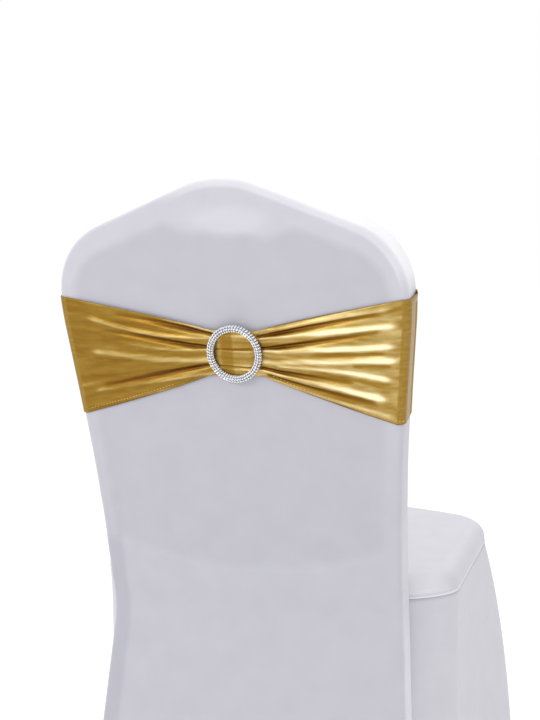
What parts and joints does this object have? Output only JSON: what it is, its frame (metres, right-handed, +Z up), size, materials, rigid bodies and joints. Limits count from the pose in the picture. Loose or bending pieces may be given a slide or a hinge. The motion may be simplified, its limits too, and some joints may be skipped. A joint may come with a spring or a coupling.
{
  "type": "chair cover",
  "caption": "Fitted stretch cover for a crown-back chair, with a gathered metallic sash held by a round ring buckle; hollow, held under its crown.",
  "frame": {"origin": "bottom centre of the bounding box, on the floor between the four foot points of the hem", "axes": "+Z up, -Y towards the seat's front, +Y towards the rear face that carries the ring, +X to the left side as seen from behind"},
  "size_m": [0.5674, 0.5892, 0.9403],
  "materials": {
    "white_stretch_knit": "matte white polyester and elastane knit with a faint sheen",
    "gold_metallic_knit": "shiny gold foil knit, crinkled along its folds",
    "silver_ring": "bright silver setting for small clear stones"
  },
  "bodies": {
    "root": {"back_panel": "white_stretch_knit", "backrest_panel": "white_stretch_knit", "seat_panel": "white_stretch_knit", "side_panel_right": "white_stretch_knit", "side_panel_left": "white_stretch_knit", "front_panel": "white_stretch_knit", "sash_rear": "gold_metallic_knit", "sash_front": "gold_metallic_knit", "ring_buckle": "silver_ring"}
  },
  "joints": []
}
